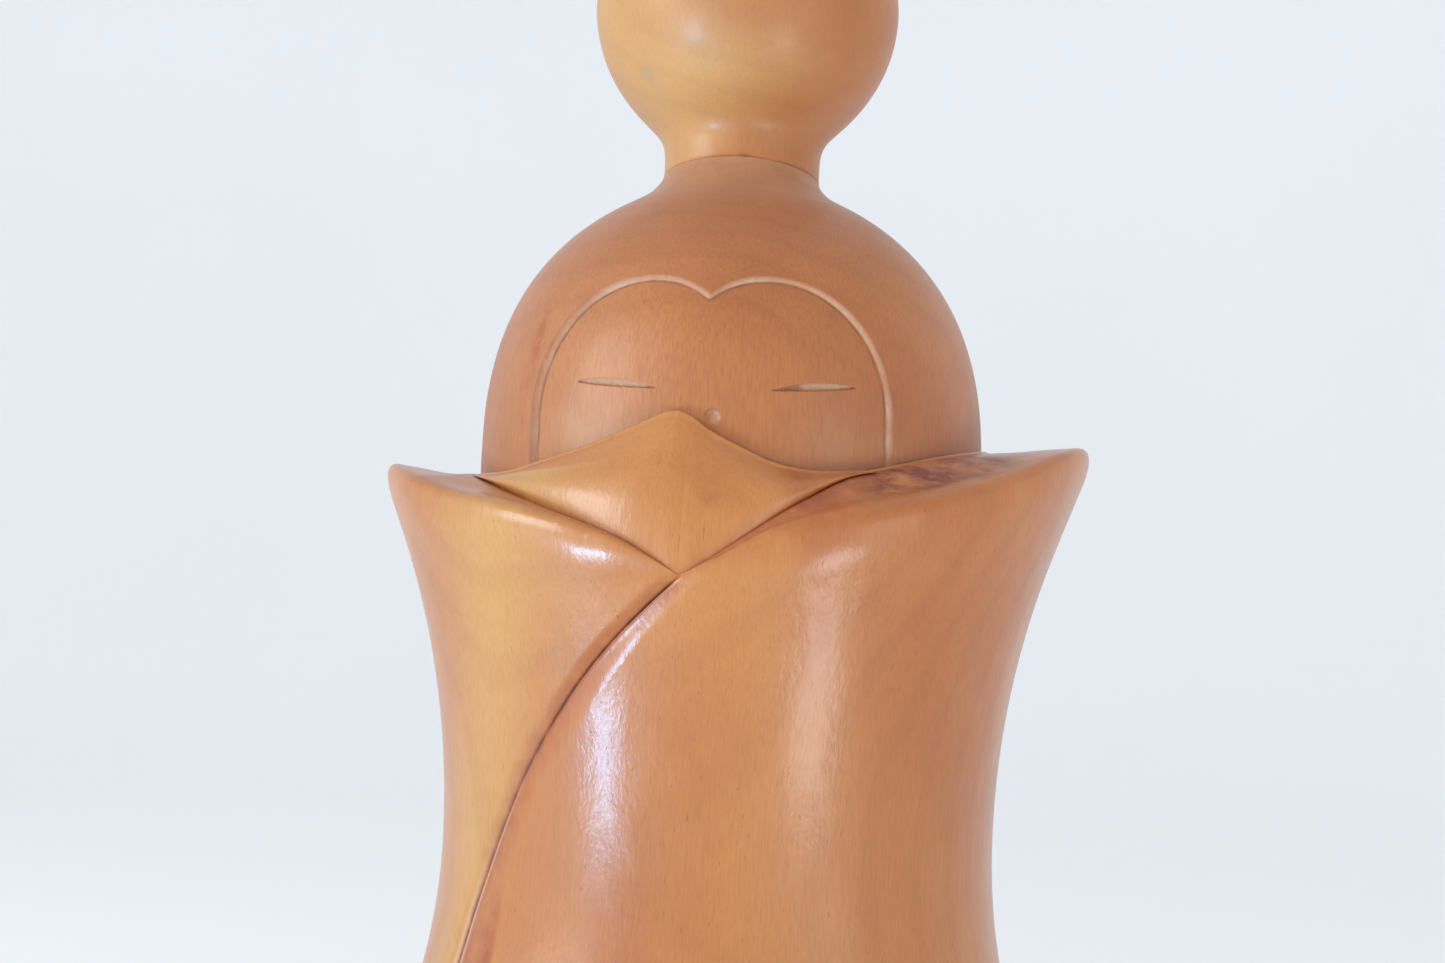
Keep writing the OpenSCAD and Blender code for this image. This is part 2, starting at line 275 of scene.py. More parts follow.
def lip_z(a):
    """Height of the inner edge: the scarf's top edge, and the collar's lip where no scarf shows."""
    scarf = np.where(a < PEAK_ANGLE, curve(SCARF_LEFT, a), curve(SCARF_RIGHT, a))
    return np.where(is_scarf(a), scarf, curve(COLLAR_LINE, from_v(a)))


def tuck_z(a):
    """Height of the line where the scarf goes under the collar."""
    scarf = np.where(a < V_ANGLE, curve(TUCK_LEFT, a), curve(TUCK_RIGHT, a))
    return np.where(is_scarf(a), scarf, lip_z(a) - LIP_STEP)


def tuck_r(a):
    """Radius of that line, from the V's point in to the lip."""
    end = np.where(a > V_ANGLE, SCARF_TO, SCARF_FROM)
    part = np.clip((a - V_ANGLE) / (end - V_ANGLE), 0, 1)
    part = (np.sqrt(part**2 + SCARF_SOFT**2) - SCARF_SOFT) / (math.sqrt(1 + SCARF_SOFT**2) - SCARF_SOFT)
    return mix(V_R, LIP_R + TUCK_OUT, np.where(is_scarf(a), part, 1))


def lapel_a(z):
    """Angle of the lapel's edge at a height."""
    return curve(LAPEL_LINE, np.minimum(z, V_Z))


def lapel_cut(d):
    """Depth of the carving at d mm round the robe from the lapel's edge; the upper panel has d > 0."""
    upper = sum(depth * (1 - ease(d / width)) for depth, width in UPPER_FALLS)
    lower = sum(depth * (1 - ease(-d / width)) for depth, width in LOWER_FALLS)
    return np.where(d > 0, upper, lower + GROOVE_DEPTH * bell(d, GROOVE_W))


def lapel_fade(z):
    """1 along the lapel, falling to 0 just above the V."""
    return 1 - ease((z - V_Z + FADE_FROM) / FADE_H)


# In the marks below, and in the head's, each term is a strength times a bell or an ease, which is written as
# its place and its width, in millimetres on the surface or in degrees round it.
def lapel_marks(u, z, d):
    """Dark build-up and unfinished wood round the lapel's edge: a line in the groove, a softer halo on each
    side of it, and towards the foot a red patch and two strips where the finish has gone, the one on the
    upper panel's rolled edge also a painted highlight."""
    high = ease((z - 60) / 40)
    low = ease((84 - z) / 20)
    foot = ease((72 - z) / 26)
    line = mix(0.52, 0.46, high) * bell(d + 0.2, mix(0.8, 0.5, high)) + 0.22 * bell(d, 1.3)
    line = line + foot * 0.7 * bell(d + 0.3, 0.5)
    halo = 0.30 * bell(d - 1.8, 2.0) + 0.34 * bell(d + 2.0, 2.4) * mix(0.55, 1.0, high)
    patch = foot * ease((d - 0.5) / 0.8) * (1 - ease((d - 2.5 - 2.5 * foot) / 1.6))
    patch = patch * (0.62 + 0.5 * ripple(u * 4, z, count=6, height=12, seed=31))
    # the first strip lies on the upper panel's rolled edge: partly wood without finish, partly a painted
    # highlight on that roll
    bare_and_highlight_mask = 0.75 * low * bell(d - 0.42, 0.20 + 0.14 * foot) + 0.6 * foot * bell(d + 1.6, 0.5)
    fade = lapel_fade(z)
    return (line + np.maximum(halo, patch)) * fade, bare_and_highlight_mask * fade


def collar_marks(u, z, k, away):
    """Build-up and stains on the collar's top, at a share k of the way in and away mm from the scarf: rusty
    patches beside the scarf, a darkening towards the scarf that is partly build-up and partly painted contact
    shadow, and a large stain on the shoulder towards +X."""
    rust_spread = np.clip(0.3 + ripple(u * 2, z, count=5, height=6, seed=13), 0, 1)
    rust = (bell(u + 13, 8) + bell(u - 26, 10)) * rust_spread
    # darker towards the scarf: partly build-up, partly painted contact shadow where the scarf goes under the
    # collar
    dark = 0.26 + 0.16 * bell(away, 4) + 0.14 * bell(away, 0.7) + 0.3 * rust
    stain = 2.0 * bell(u - 46, 10) * ease((k - 0.1) / 0.3) + 2.0 * bell(u - 59, 8) * bell(k - 0.45, 0.3)
    stain = stain + 0.6 * bell(u - 27, 13) * bell(away, 4) + 0.5 * bell(u + 9, 5) * bell(away, 3)
    return mix(0.22, dark, is_scarf(u).astype(float)), stain


def make_robe():
    t = np.linspace(0, 1, ROBE_COLUMNS)
    u = (360 - LAPEL_GAP) * (t - CROWDING * np.sin(2 * math.pi * t) / (2 * math.pi))
    u = V_ANGLE + np.where(u > 180, u - 360, u)
    fold_z = curve(FOLD_LINE, from_v(u))
    fold = np.array([side_r(fold_z), fold_z])
    tuck = np.array([tuck_r(u), tuck_z(u)])
    lip = np.array([LIP_R + 0 * u, lip_z(u)])
    reach = np.minimum(FOLD_ROUND, (fold[0] - tuck[0]) * NOSE_SHARE + LEAST_ROUND)
    length = np.hypot(*(fold - tuck))
    inward = mix(fold, tuck, reach / np.maximum(length, reach + LEAST_LAND))
    scarf = is_scarf(u).astype(float)
    off_v = ease((np.abs(u - V_ANGLE) - OFF_V_FROM) / OFF_V_OVER)

    def side_at(z):
        """The carved side at a height, and each point's distance round it from the lapel's edge."""
        lean = np.abs(lapel_a(z) - V_ANGLE) / 180
        d = np.radians(u - V_ANGLE) * side_r(z) * (1 - lean)
        return np.array([side_r(z) - lapel_cut(d) * lapel_fade(z), z + 0 * u]), d

    rows = []
    marks = {"crease": [], "bare_and_highlight": [], "stain": []}

    def add(rz, crease=0.0, bare_and_highlight=0.0, stain=0.0):
        rows.append((rz[0] + 0 * u, rz[1] + 0 * u))
        marks["crease"].append(crease + 0 * u)
        marks["bare_and_highlight"].append(bare_and_highlight + 0 * u)
        marks["stain"].append(stain + 0 * u)

    # underside and rounded bottom edge
    foot = side_r(BASE_EDGE)
    drop = side_at(BASE_EDGE)[0][0] - foot
    for r in np.linspace(UNDERSIDE_R, foot - BASE_EDGE, UNDERSIDE_ROWS):
        add((r, 0.0), bare_and_highlight=1.0)
    for turn in np.linspace(0, math.pi / 2, EDGE_ROWS)[1:-1]:
        r = foot + drop - BASE_EDGE * (1 - math.sin(turn))
        add((r, BASE_EDGE * (1 - math.cos(turn))), crease=0.2)
    # the side, up to the round nose of the fold
    below = side_at(fold_z - 2 * reach)[0]
    for i in range(SIDE_ROWS):
        z = mix(BASE_EDGE, below[1], i / SIDE_ROWS)
        rz, d = side_at(z)
        crease, bare_and_highlight = lapel_marks(u, z, d)
        add(rz, crease, bare_and_highlight)
    # the round nose
    for i in range(NOSE_ROWS + 1):
        k = i / NOSE_ROWS
        add(bend(below, fold, inward, k), crease=mix(0.12, mix(0.22, 0.30, scarf), ease(k)))
    # the collar's top, rolled over a little where it meets the scarf
    for i in range(1, TOP_ROWS + 1):
        k = i / TOP_ROWS
        away = (1 - k) * np.hypot(*(inward - tuck))
        roll = EDGE_ROLL * scarf * off_v * (1 - ease(away / ROLL_WIDTH))
        sag = k + (ease(k) - k) * ease(2 * k)
        rz = np.array([mix(inward[0], tuck[0], k), mix(inward[1], tuck[1], sag) - roll])
        crease, stain = collar_marks(u, rz[1], k, away)
        add(rz, crease, stain=stain)
    # the scarf
    start = tuck - np.array([TUCK_DIP, TUCK_SINK])[:, None] * off_v
    end = lip - np.array([0, LIP_ROUND])[:, None]
    width = np.hypot(*(lip - tuck))
    for i in range(SCARF_ROWS + 1):
        k = (i / SCARF_ROWS) ** SCARF_CROWDING
        swell = scarf * 4 * SCARF_BULGE * k * (1 - k)
        rz = mix(start, end, k) + np.array([swell, 0 * u])
        # darker along the lower edge, where the scarf goes under the collar: partly build-up, partly painted
        # contact shadow
        crease = 0.22 * bell(k * width, 0.6) + 0.26 * bell(k * width, 3) + 0.08 * bell((1 - k) * width, 1.5)
        add(rz, crease, stain=spots(u, rz[1], SCARF_SPOTS))
    # the lip, the recess that the head sits in, and the peg's bore
    for turn in np.linspace(0, math.pi / 2, LIP_ROWS)[1:]:
        out = lip + LIP_ROUND * np.array([math.cos(turn) - 1, math.sin(turn) - 1])[:, None]
        add(out, crease=0.12)
    # the lip's inner edge darkens: painted shade of the gap round the head
    add((SEAT_R + LIP_EDGE / 2, lip[1] - LIP_EDGE / 6), crease=0.5)
    add((SEAT_R, lip[1] - LIP_EDGE), crease=0.8)
    outer_rows = len(rows)
    for k in np.linspace(0, 1, WALL_ROWS)[1:]:
        add((SEAT_R, mix(lip[1] - LIP_EDGE, SEAT_Z, k)), bare_and_highlight=0.7)
    for r in FLOOR_RINGS + [PEG_BORE_R]:
        add((r, SEAT_Z), bare_and_highlight=0.8)
    for k in (0.5, 1.0):
        add((PEG_BORE_R, SEAT_Z - PEG_BORE_DEPTH * k), bare_and_highlight=1.0)

    r = np.array([row[0] for row in rows])
    z = np.array([row[1] for row in rows])
    # the columns lean over with the lapel's edge, as far as the lip
    lean = (lapel_a(z) - V_ANGLE) * (1 - np.abs(u - V_ANGLE) / 180)
    lean[outer_rows:] = 0
    angle = u + lean
    skin = np.zeros_like(r)
    skin[SKIN_FROM:outer_rows - SKIN_TO] = 1
    r = r + skin * (SKIN_WAVE * ripple(angle, z, count=7, height=60, seed=11) - spots(angle, z, [DENT]))
    marks = {name: np.array(values) for name, values in marks.items()}
    # the lower panel is yellower along its middle
    marks["amber"] = skin * 0.9 * bell(angle + 30 + 0.25 * (130 - z), 13) * (angle < lapel_a(z))
    bore_end = (0, 0, SEAT_Z - PEG_BORE_DEPTH)
    return grid_mesh("robe_carving", lathe_point(angle, r, z), (0, 0, 0), bore_end, marks)


# ---- the head ----
HEAD_WIDE_Z = 134.0
DOME_R = 45.6
DOME_H = 52.4
DOME_POWER = 2.5
DOME_SOFT = 0.03
HEAD_EDGE = 2.5          # bevel round the underside
FILLET = 1.2             # the neck is this much fuller just under the seam
FILLET_Z = 185.6
FILLET_H = 2.0
FACE_TURN = 5.0          # where the face looks
HAIRLINE_TURN = -1.8     # the hairline is turned by this much from the eyes
FACE_HALF_W = 30.5
ARCH_TOP_Z = 162.4       # the hairline's two arches, and the cleft between them
ARCH_X = 10.4
ARCH_Z = 139.0
CLEFT_Z = 158.9
CLEFT_POWER = 2.4
CUT_DEPTH = 0.9          # the bevelled step along the hairline
CUT_W = 0.85
FACE_DEPTH = 0.5         # how far the face's middle stays below the hair
FACE_RISE_W = 8.0
EYE_ANGLE = 21.7
EYE_Z = 143.8
EYE_HALF_W = 8.0
EYE_HALF_H = 0.68
EYE_DEPTH = 0.8
EYE_TILT = 0.10
EYE_SAG = 0.25
EYE_SKEW = 0.6           # an eye is widest this far outward from its middle
EYE_VALLEY = -0.45       # where its deepest line lies, from -1 at its lower edge to 1 at its upper edge
KNIFE_MARKS = 0.04       # depth of the marks that the knife left in the eyes
DARK_FROM = {-1: 5.6, 1: 1.6}    # an eye's inner end darkens from here, over this width
DARK_OVER = {-1: 1.0, 1: 1.6}
NOSE_TURN = 0.3
NOSE_Z = 138.1
NOSE_R = 1.25
NOSE_DEPTH = 0.5
HEAD_WAVE = 0.03
SEAM_DIP = 0.9           # the head's top edge is set in by this much under the topknot
SEAM_WAVES = [[1.0, 1, 14], [0.35, 2, -20]]    # height, number of waves round the neck, lag
SEAM_DROP = 0.3
HEAD_BORE_R = 9.03
HEAD_BORE_DEPTH = 19.2
DOWEL_BORE_R = 5.03
DOWEL_BORE_DEPTH = 16.0
FACE_FROM = -48          # the columns of points stand this close between these angles
FACE_TO = 50
FACE_STEP = 0.24
BACK_COLUMNS = 94
# bands of rows: from a height, to a height, how many
HEAD_BANDS = [[UNDER_Z + HEAD_EDGE, 126, 8], [126, 141, 60], [141, 147, 46], [147, 164.5, 74],
              [164.5, SEAM_Z, 50]]
UNDER_RING = 24          # a ring of the underside, between its bore and its edge
# painted sheen on the lower cheeks, drawn as paler wood
PAINTED_CHEEK_SHEEN = [[0.34, -26, 136, 12, 5], [0.22, 38, 134, 14, 5]]
HAIR_STAIN = [[0.75, -40.5, 152.5, 2.0, 5.0]]
CHEEK_STAIN = [[0.35, -42, 141, 2.2, 9]]


def dome_r(z):
    return DOME_R * np.sqrt(soft_max(1 - (np.abs(z - HEAD_WIDE_Z) / DOME_H) ** DOME_POWER, 0, DOME_SOFT))


def head_profile_r(z):
    return into_neck(dome_r(z), HEAD_BLEND) + FILLET * bell(z - FILLET_Z, FILLET_H)


def seam_wave(angle):
    """Height of the joint under the topknot, which isn't quite level."""
    waves = sum(height * np.cos(np.radians(count * angle + lag)) for height, count, lag in SEAM_WAVES)
    return waves - SEAM_DROP


def face_outline():
    """The hairline's right half from the cheek up over the arch to the cleft, as distances on the surface."""
    t = np.radians(np.arange(0, 90.5, 3))
    x = ARCH_X + (FACE_HALF_W - ARCH_X) * np.cos(t)
    arch = np.stack([x, ARCH_Z + (ARCH_TOP_Z - ARCH_Z) * np.sin(t)], axis=1)
    s = np.linspace(0, 1, 14)[1:]
    dip = np.stack([ARCH_X * (1 - s), ARCH_TOP_Z - (ARCH_TOP_Z - CLEFT_Z) * s**CLEFT_POWER], axis=1)
    line = np.concatenate([[[FACE_HALF_W, SEAT_Z + 1]], arch, dip])
    r = head_profile_r(line[:, 1])
    return np.stack([r * np.arcsin(np.minimum(line[:, 0] / r, 1)), line[:, 1]], axis=1)


def line_distance(x, y, line):
    nearest = np.full(x.shape, np.inf)
    for a, b in zip(line[:-1], line[1:]):
        along = b - a
        t = np.clip(((x - a[0]) * along[0] + (y - a[1]) * along[1]) / (along @ along), 0, 1)
        nearest = np.minimum(nearest, np.hypot(x - a[0] - t * along[0], y - a[1] - t * along[1]))
    return nearest


def face_distance(angle, z):
    """Distance inside the hairline, negative outside it."""
    rel = np.radians((angle - FACE_TURN - HAIRLINE_TURN + 180) % 360 - 180)
    r = head_profile_r(z)
    away = line_distance(np.abs(rel) * r, z, face_outline())
    x = np.where(np.abs(rel) < math.pi / 2, np.abs(r * np.sin(rel)), np.inf)
    rise = np.clip((z - ARCH_Z) / (ARCH_TOP_Z - ARCH_Z), 0, 1)
    outer = ARCH_X + (FACE_HALF_W - ARCH_X) * np.sqrt(1 - rise**2)
    dip = np.clip((z - CLEFT_Z) / (ARCH_TOP_Z - CLEFT_Z), 0, 1)
    inner = np.where(z > CLEFT_Z, ARCH_X * (1 - (1 - dip) ** (1 / CLEFT_POWER)), -1)
    inside = (x < outer) & (x > inner) & (z < ARCH_TOP_Z)
    return np.where(inside, away, -away)


def hairline(angle, z):
    """The hairline's cut, which is a bevelled step with the face coming back up a little behind it, and its
    crease, raw and stain marks."""
    d = face_distance(angle, z)
    cut = CUT_DEPTH * np.clip((d + 0.1) / CUT_W, 0, 1)
    cut = cut - (CUT_DEPTH - FACE_DEPTH) * ease((d - CUT_W) / FACE_RISE_W)
    uneven = ripple(angle * 3, z, count=6, height=6, seed=5)
    left = ease((-angle - 20) / 12)
    bevel = ease((d + 0.2 + 0.1 * uneven) / 0.25) * (1 - ease((d - CUT_W + 0.3 - 0.15 * uneven) / 0.25))
    outer = 1 - 0.45 * bell(d - 0.05, 0.22)
    bare_and_highlight = bevel * outer * np.clip(0.74 + 0.4 * uneven, 0.40, 0.95) * (1 - 0.4 * left)
    foot_line = bell(d - CUT_W - 0.05, 0.26)
    crease = foot_line * (0.75 + 0.25 * uneven + 0.3 * left) + 0.18 * bell(d, 3.0) * (d < 0)
    crease = np.maximum(crease, 0.6 * left * bell(d + 0.25, 0.25))
    stain = (0.7 + 0.3 * uneven) * bell(d + 0.02, 0.2)
    stain = np.maximum(stain, spots(angle, z, HAIR_STAIN) * (d < 0.1))
    stain = np.maximum(stain, spots(angle, z, CHEEK_STAIN) * (d < 0))
    return cut, crease, bare_and_highlight, stain


def eye(side, rel, r, z):
    """One eye, a long thin notch, and its crease and raw marks. s runs outward from the eye's middle, and v
    runs from -1 at its lower edge to 1 at its upper edge."""
    s = side * np.radians(rel - side * EYE_ANGLE) * r
    mid = EYE_Z + EYE_TILT * s - EYE_SAG * (s / EYE_HALF_W) ** 2
    part = (s - EYE_SKEW) / (EYE_HALF_W - EYE_SKEW * np.sign(s - EYE_SKEW))
    half = EYE_HALF_H * np.clip(1 - part**2, 1e-6, 1)
    v = (z - mid) / half
    across = np.abs(s) < EYE_HALF_W
    shown = across & (np.abs(v) < 1)
    valley = np.where(v > EYE_VALLEY, (1 - v) / (1 - EYE_VALLEY), (1 + v) / (1 + EYE_VALLEY))
    deep = EYE_DEPTH * (half / EYE_HALF_H) ** 0.7 + KNIFE_MARKS * np.sin(s * 9)
    cut = np.where(shown, deep * np.clip(valley, 0, 1), 0)
    pale = np.where(shown, ease((half - 0.12) / 0.3), 0)
    dark_end = ease((-s - DARK_FROM[side]) / DARK_OVER[side])
    bare_and_highlight = pale * ease((1 - np.abs(v)) / 0.35) * (1 - 0.8 * dark_end) * (0.35 + 0.5 * ease((v + 0.7) / 0.4))
    lower = 0.8 * bell(z - mid + half * 0.75, 0.22) * across * ease((EYE_HALF_W - np.abs(s)) / 1.2)
    upper = 0.25 * bell(z - mid - half, 0.16) * across
    crease = np.maximum(np.maximum(lower, upper), 0.55 * pale * dark_end)
    return cut, crease, bare_and_highlight


def nose(rel, r, z):
    """The nose, a small round dimple, and its marks: a painted shadow along its upper rim in the crease mark,
    and paler wood inside towards +X, partly the cut's own wood and partly a painted highlight on its lit
    wall.
    """
    x = np.radians(rel - NOSE_TURN) * r
    away = np.hypot(x, z - NOSE_Z)
    cut = NOSE_DEPTH * np.sqrt(np.clip(1 - (away / NOSE_R) ** 2, 0, 1))
    # painted shadow along the dimple's upper rim
    crease = 0.5 * bell(away - NOSE_R, 0.25) * (z > NOSE_Z)
    # paler inside towards +X: partly the cut's own wood, partly a painted highlight on the lit wall
    bare_and_highlight = 0.45 * (away < NOSE_R) * ease((x + 0.9) / 1.2)
    return cut, crease, bare_and_highlight


def make_head():
    face = np.arange(FACE_FROM, FACE_TO + 0.01, FACE_STEP)
    back = np.linspace(FACE_TO, FACE_FROM + 360, BACK_COLUMNS + 2)[1:-1]
    angle = FACE_TURN + np.concatenate([face, back])[None, :]
    z = np.concatenate([np.linspace(*band, endpoint=False) for band in HEAD_BANDS] + [[SEAM_Z]])[:, None]
    r = head_profile_r(z)
    rel = (angle - FACE_TURN + 180) % 360 - 180
    cut, crease, bare_and_highlight, stain = hairline(angle, z)
    for more_cut, more_crease, more_raw in (eye(-1, rel, r, z), eye(1, rel, r, z), nose(rel, r, z)):
        cut = cut + more_cut
        crease = np.maximum(crease, more_crease)
        bare_and_highlight = np.maximum(bare_and_highlight, more_raw)
    # painted sheen on the cheeks, drawn as paler wood; paler towards the neck, partly dust and partly a
    # painted sheen; the neck is also dirty in patches
    cheek_sheen = spots(angle, z, PAINTED_CHEEK_SHEEN) * (0.8 + 0.4 * ripple(angle * 4, z, count=6, height=9, seed=33))
    # paler towards the neck: partly dust, partly a painted sheen where the neck curves into the head
    bare_and_highlight = np.maximum(bare_and_highlight, 0.32 * ease((z - SEAM_Z + 12) / 9))
    bare_and_highlight = np.maximum(bare_and_highlight, cheek_sheen)
    neck_dirt = ease((z - SEAM_Z + 7) / 6) * (0.22 + 0.25 * ripple(angle, z, count=6, height=10, seed=21))
    crease = np.maximum(crease, neck_dirt)
    skin = ease((SEAM_Z - z) / 10) * ease((z - 126) / 4)
    r = r - cut + HEAD_WAVE * ripple(angle, z, count=6, height=40, seed=7) * skin
    body = lathe_point(angle, r, z + seam_wave(angle) * ease((z - SEAM_Z + 8) / 8))

    around = angle[0]
    level = 0 * around
    edge_r = head_profile_r(UNDER_Z) - HEAD_EDGE
    first = [(HEAD_BORE_R, UNDER_Z + HEAD_BORE_DEPTH), (HEAD_BORE_R, UNDER_Z), (UNDER_RING, UNDER_Z),
             (edge_r, UNDER_Z)]
    last = [(NECK_R - SEAM_DIP, SEAM_Z + seam_wave(around)), (DOWEL_BORE_R, SEAM_Z),
            (DOWEL_BORE_R, SEAM_Z - DOWEL_BORE_DEPTH)]
    low = [lathe_point(around, ring_r + level, ring_z + level) for ring_r, ring_z in first]
    high = [lathe_point(around, ring_r + level, ring_z + level) for ring_r, ring_z in last]

    def pad(values, at_low, at_high):
        ends = [np.full((len(rings), angle.size), value) for rings, value in ((low, at_low), (high, at_high))]
        return np.concatenate([ends[0], values + 0 * z, ends[1]])

    marks = {"crease": pad(crease, 0, 0.9), "bare_and_highlight": pad(bare_and_highlight, 0.9, 0.5), "stain": pad(stain, 0, 0)}
    peg_end = (0, 0, UNDER_Z + HEAD_BORE_DEPTH)
    dowel_end = (0, 0, SEAM_Z - DOWEL_BORE_DEPTH)
    rings = np.concatenate([np.array(low), body, np.array(high)])
    return grid_mesh("head_carving", rings, peg_end, dowel_end, marks)


# ---- the topknot ----
KNOT_WIDE_Z = 221.0
KNOT_BALL_R = 28.0
KNOT_DOWN = 27.2
KNOT_SOFT = 0.08
KNOT_COLUMNS = 200
KNOT_LOW_ROWS = 90
KNOT_HIGH_ROWS = 43
KNOT_LAST_TURN = 88      # the last ring before the point on top
# pale spots low on the topknot's front
KNOT_PALE_SPOTS = [[0.9, -41, 204, 4.5, 3], [0.6, -9, 207.5, 7, 3], [0.9, 3.7, 200.6, 2, 1]]
SEAM_SMUDGES = [[0.4, 9, 0.5, 14, 1.6], [0.25, 40, 0, 18, 2]]    # their heights are above the seam
AMBER_ANGLE = -50
AMBER_PATCH = [[0.5, 0, 203, 40, 6]]


def make_topknot():
    angle = np.linspace(0, 360, KNOT_COLUMNS, endpoint=False)[None, :]
    z_low = np.linspace(SEAM_Z, KNOT_WIDE_Z, KNOT_LOW_ROWS)[:, None]
    ball = KNOT_BALL_R * np.sqrt(soft_max(1 - ((z_low - KNOT_WIDE_Z) / KNOT_DOWN) ** 2, 0, KNOT_SOFT))
    r_low = into_neck(ball, KNOT_BLEND) + FILLET * bell(z_low - FILLET_Z, FILLET_H)
    turn = np.radians(np.linspace(0, KNOT_LAST_TURN, KNOT_HIGH_ROWS + 1)[1:])[:, None]
    z = np.concatenate([z_low, KNOT_WIDE_Z + (KNOT_TOP - KNOT_WIDE_Z) * np.sin(turn)])
    r = np.concatenate([r_low, r_low[-1] * np.cos(turn)])
    above = z - SEAM_Z
    skin = ease(above / 6) * ease((KNOT_TOP - z) / 6)
    r = r + HEAD_WAVE * ripple(angle, z, count=6, height=30, seed=9) * skin
    uneven = ripple(angle, z, count=7, height=9, seed=3)
    crease = (0.5 + 0.5 * uneven) * bell(above, 0.5) + 0.35 * bell(above - 1, 2.2) * (0.5 + uneven)
    crease = crease + spots(angle, above, SEAM_SMUDGES)
    amber = 0.12 + 0.62 * bell((angle - AMBER_ANGLE + 180) % 360 - 180, 50) + spots(angle, z, AMBER_PATCH)
    lift = seam_wave(angle) * ease((9 - above) / 9) + 0.06 * bell(above, 0.1)
    body = lathe_point(angle, r, z + lift)

    around = angle[0]
    level = 0 * around
    inside = [(DOWEL_BORE_R, SEAM_Z + DOWEL_BORE_DEPTH), (DOWEL_BORE_R, SEAM_Z + 0.05),
              (NECK_R - 0.6, SEAM_Z + seam_wave(around) + 0.1)]
    low = [lathe_point(around, ring_r + level, ring_z + level) for ring_r, ring_z in inside]

    def pad(values, at_low):
        return np.concatenate([np.full((len(low), KNOT_COLUMNS), at_low), values + 0 * z])

    marks = {"crease": pad(crease, 0.8), "bare_and_highlight": pad(0 * angle, 0.5), "amber": pad(amber, 0),
             "stain": pad(spots(angle, z, KNOT_PALE_SPOTS), 0)}
    rings = np.concatenate([np.array(low), body])
    return grid_mesh("topknot_turning", rings, (0, 0, SEAM_Z + DOWEL_BORE_DEPTH), (0, 0, KNOT_TOP), marks)


# ---- materials ----
def rgb(red, green, blue):
    """A colour given as it looks on a screen, as the linear values that a shader takes."""
    def linear(c):
        c = c / 255
        return c / 12.92 if c <= 0.04045 else ((c + 0.055) / 1.055) ** 2.4
    return (linear(red), linear(green), linear(blue), 1.0)


class Tree:
    """A material's nodes, with a short way to add each kind."""

    def __init__(self, name):
        self.material = bpy.data.materials.new(name)
        self.material.use_nodes = True
        self.nodes = self.material.node_tree.nodes
        self.links = self.material.node_tree.links
        self.shader = self.nodes["Principled BSDF"]
        self.place = self.nodes.new("ShaderNodeTexCoord").outputs["Object"]

    def put(self, value, socket):
        if isinstance(value, bpy.types.NodeSocket):
            self.links.new(value, socket)
        else:
            socket.default_value = value

    def math(self, what, a, b=0.0, c=0.0):
        node = self.nodes.new("ShaderNodeMath")
        node.operation = what
        for value, socket in zip((a, b, c), node.inputs):
            self.put(value, socket)
        return node.outputs[0]

    def vector(self, what, a, b=(0.0, 0.0, 0.0)):
        node = self.nodes.new("ShaderNodeVectorMath")
        node.operation = what
        self.put(a, node.inputs[0])
        self.put(b, node.inputs[1])
        return node.outputs

    def stretch(self, scale, offset=(0.0, 0.0, 0.0)):
        node = self.nodes.new("ShaderNodeMapping")
        self.links.new(self.place, node.inputs["Vector"])
        node.inputs["Scale"].default_value = scale
        node.inputs["Location"].default_value = offset
        return node.outputs[0]

    def noise(self, where, scale, detail=3.0, rough=0.5, warp=0.0):
        node = self.nodes.new("ShaderNodeTexNoise")
        self.put(where, node.inputs["Vector"])
        node.inputs["Scale"].default_value = scale
        node.inputs["Detail"].default_value = detail
        node.inputs["Roughness"].default_value = rough
        node.inputs["Distortion"].default_value = warp
        return node.outputs["Fac"]

    def ramp(self, value, low, high, to_low=0.0, to_high=1.0):
        node = self.nodes.new("ShaderNodeMapRange")
        node.interpolation_type = "SMOOTHSTEP"
        self.put(value, node.inputs["Value"])
        for key, number in (("From Min", low), ("From Max", high), ("To Min", to_low), ("To Max", to_high)):
            node.inputs[key].default_value = number
        return node.outputs["Result"]

    def blend(self, amount, a, b, how="MIX"):
        node = self.nodes.new("ShaderNodeMix")
        node.data_type = "RGBA"
        node.blend_type = how
        first, second = (socket for socket in node.inputs if socket.type == "RGBA")
        self.put(amount, node.inputs["Factor"])
        self.put(a, first)
        self.put(b, second)
        return next(socket for socket in node.outputs if socket.type == "RGBA")

    def mark(self, name):
        node = self.nodes.new("ShaderNodeAttribute")
        node.attribute_name = name
        return node.outputs["Fac"]

    def bump(self, height, distance, strength, under=None):
        node = self.nodes.new("ShaderNodeBump")
        node.inputs["Strength"].default_value = strength
        node.inputs["Distance"].default_value = distance
        self.put(height, node.inputs["Height"])
        if under is not None:
            self.put(under, node.inputs["Normal"])
        return node.outputs[0]


# Noise scales per metre. Fibres, pores and ripples are drawn out along the grain, which is upright.
WOBBLE_SCALE = 22        # bends in the growth rings
FIBRE_SCALE = 2600
PORE_SCALE = 2400
PATCH_SCALE = 28         # patches of deeper colour
CLOUD_SCALE = 300        # unevenness of the build-up in grooves
SMUDGE_SCALE = 210       # broken edges of the stains
CHIP_SCALE = 900         # broken edges of the bare wood
SHEEN_SCALE = 60         # duller and glossier patches of the finish
SWELL_SCALE = 260        # swells in the finish
RIPPLE_SCALE = 1700      # ripples in the finish
RING_WOBBLE = 0.008
WOOD_IOR = 1.5


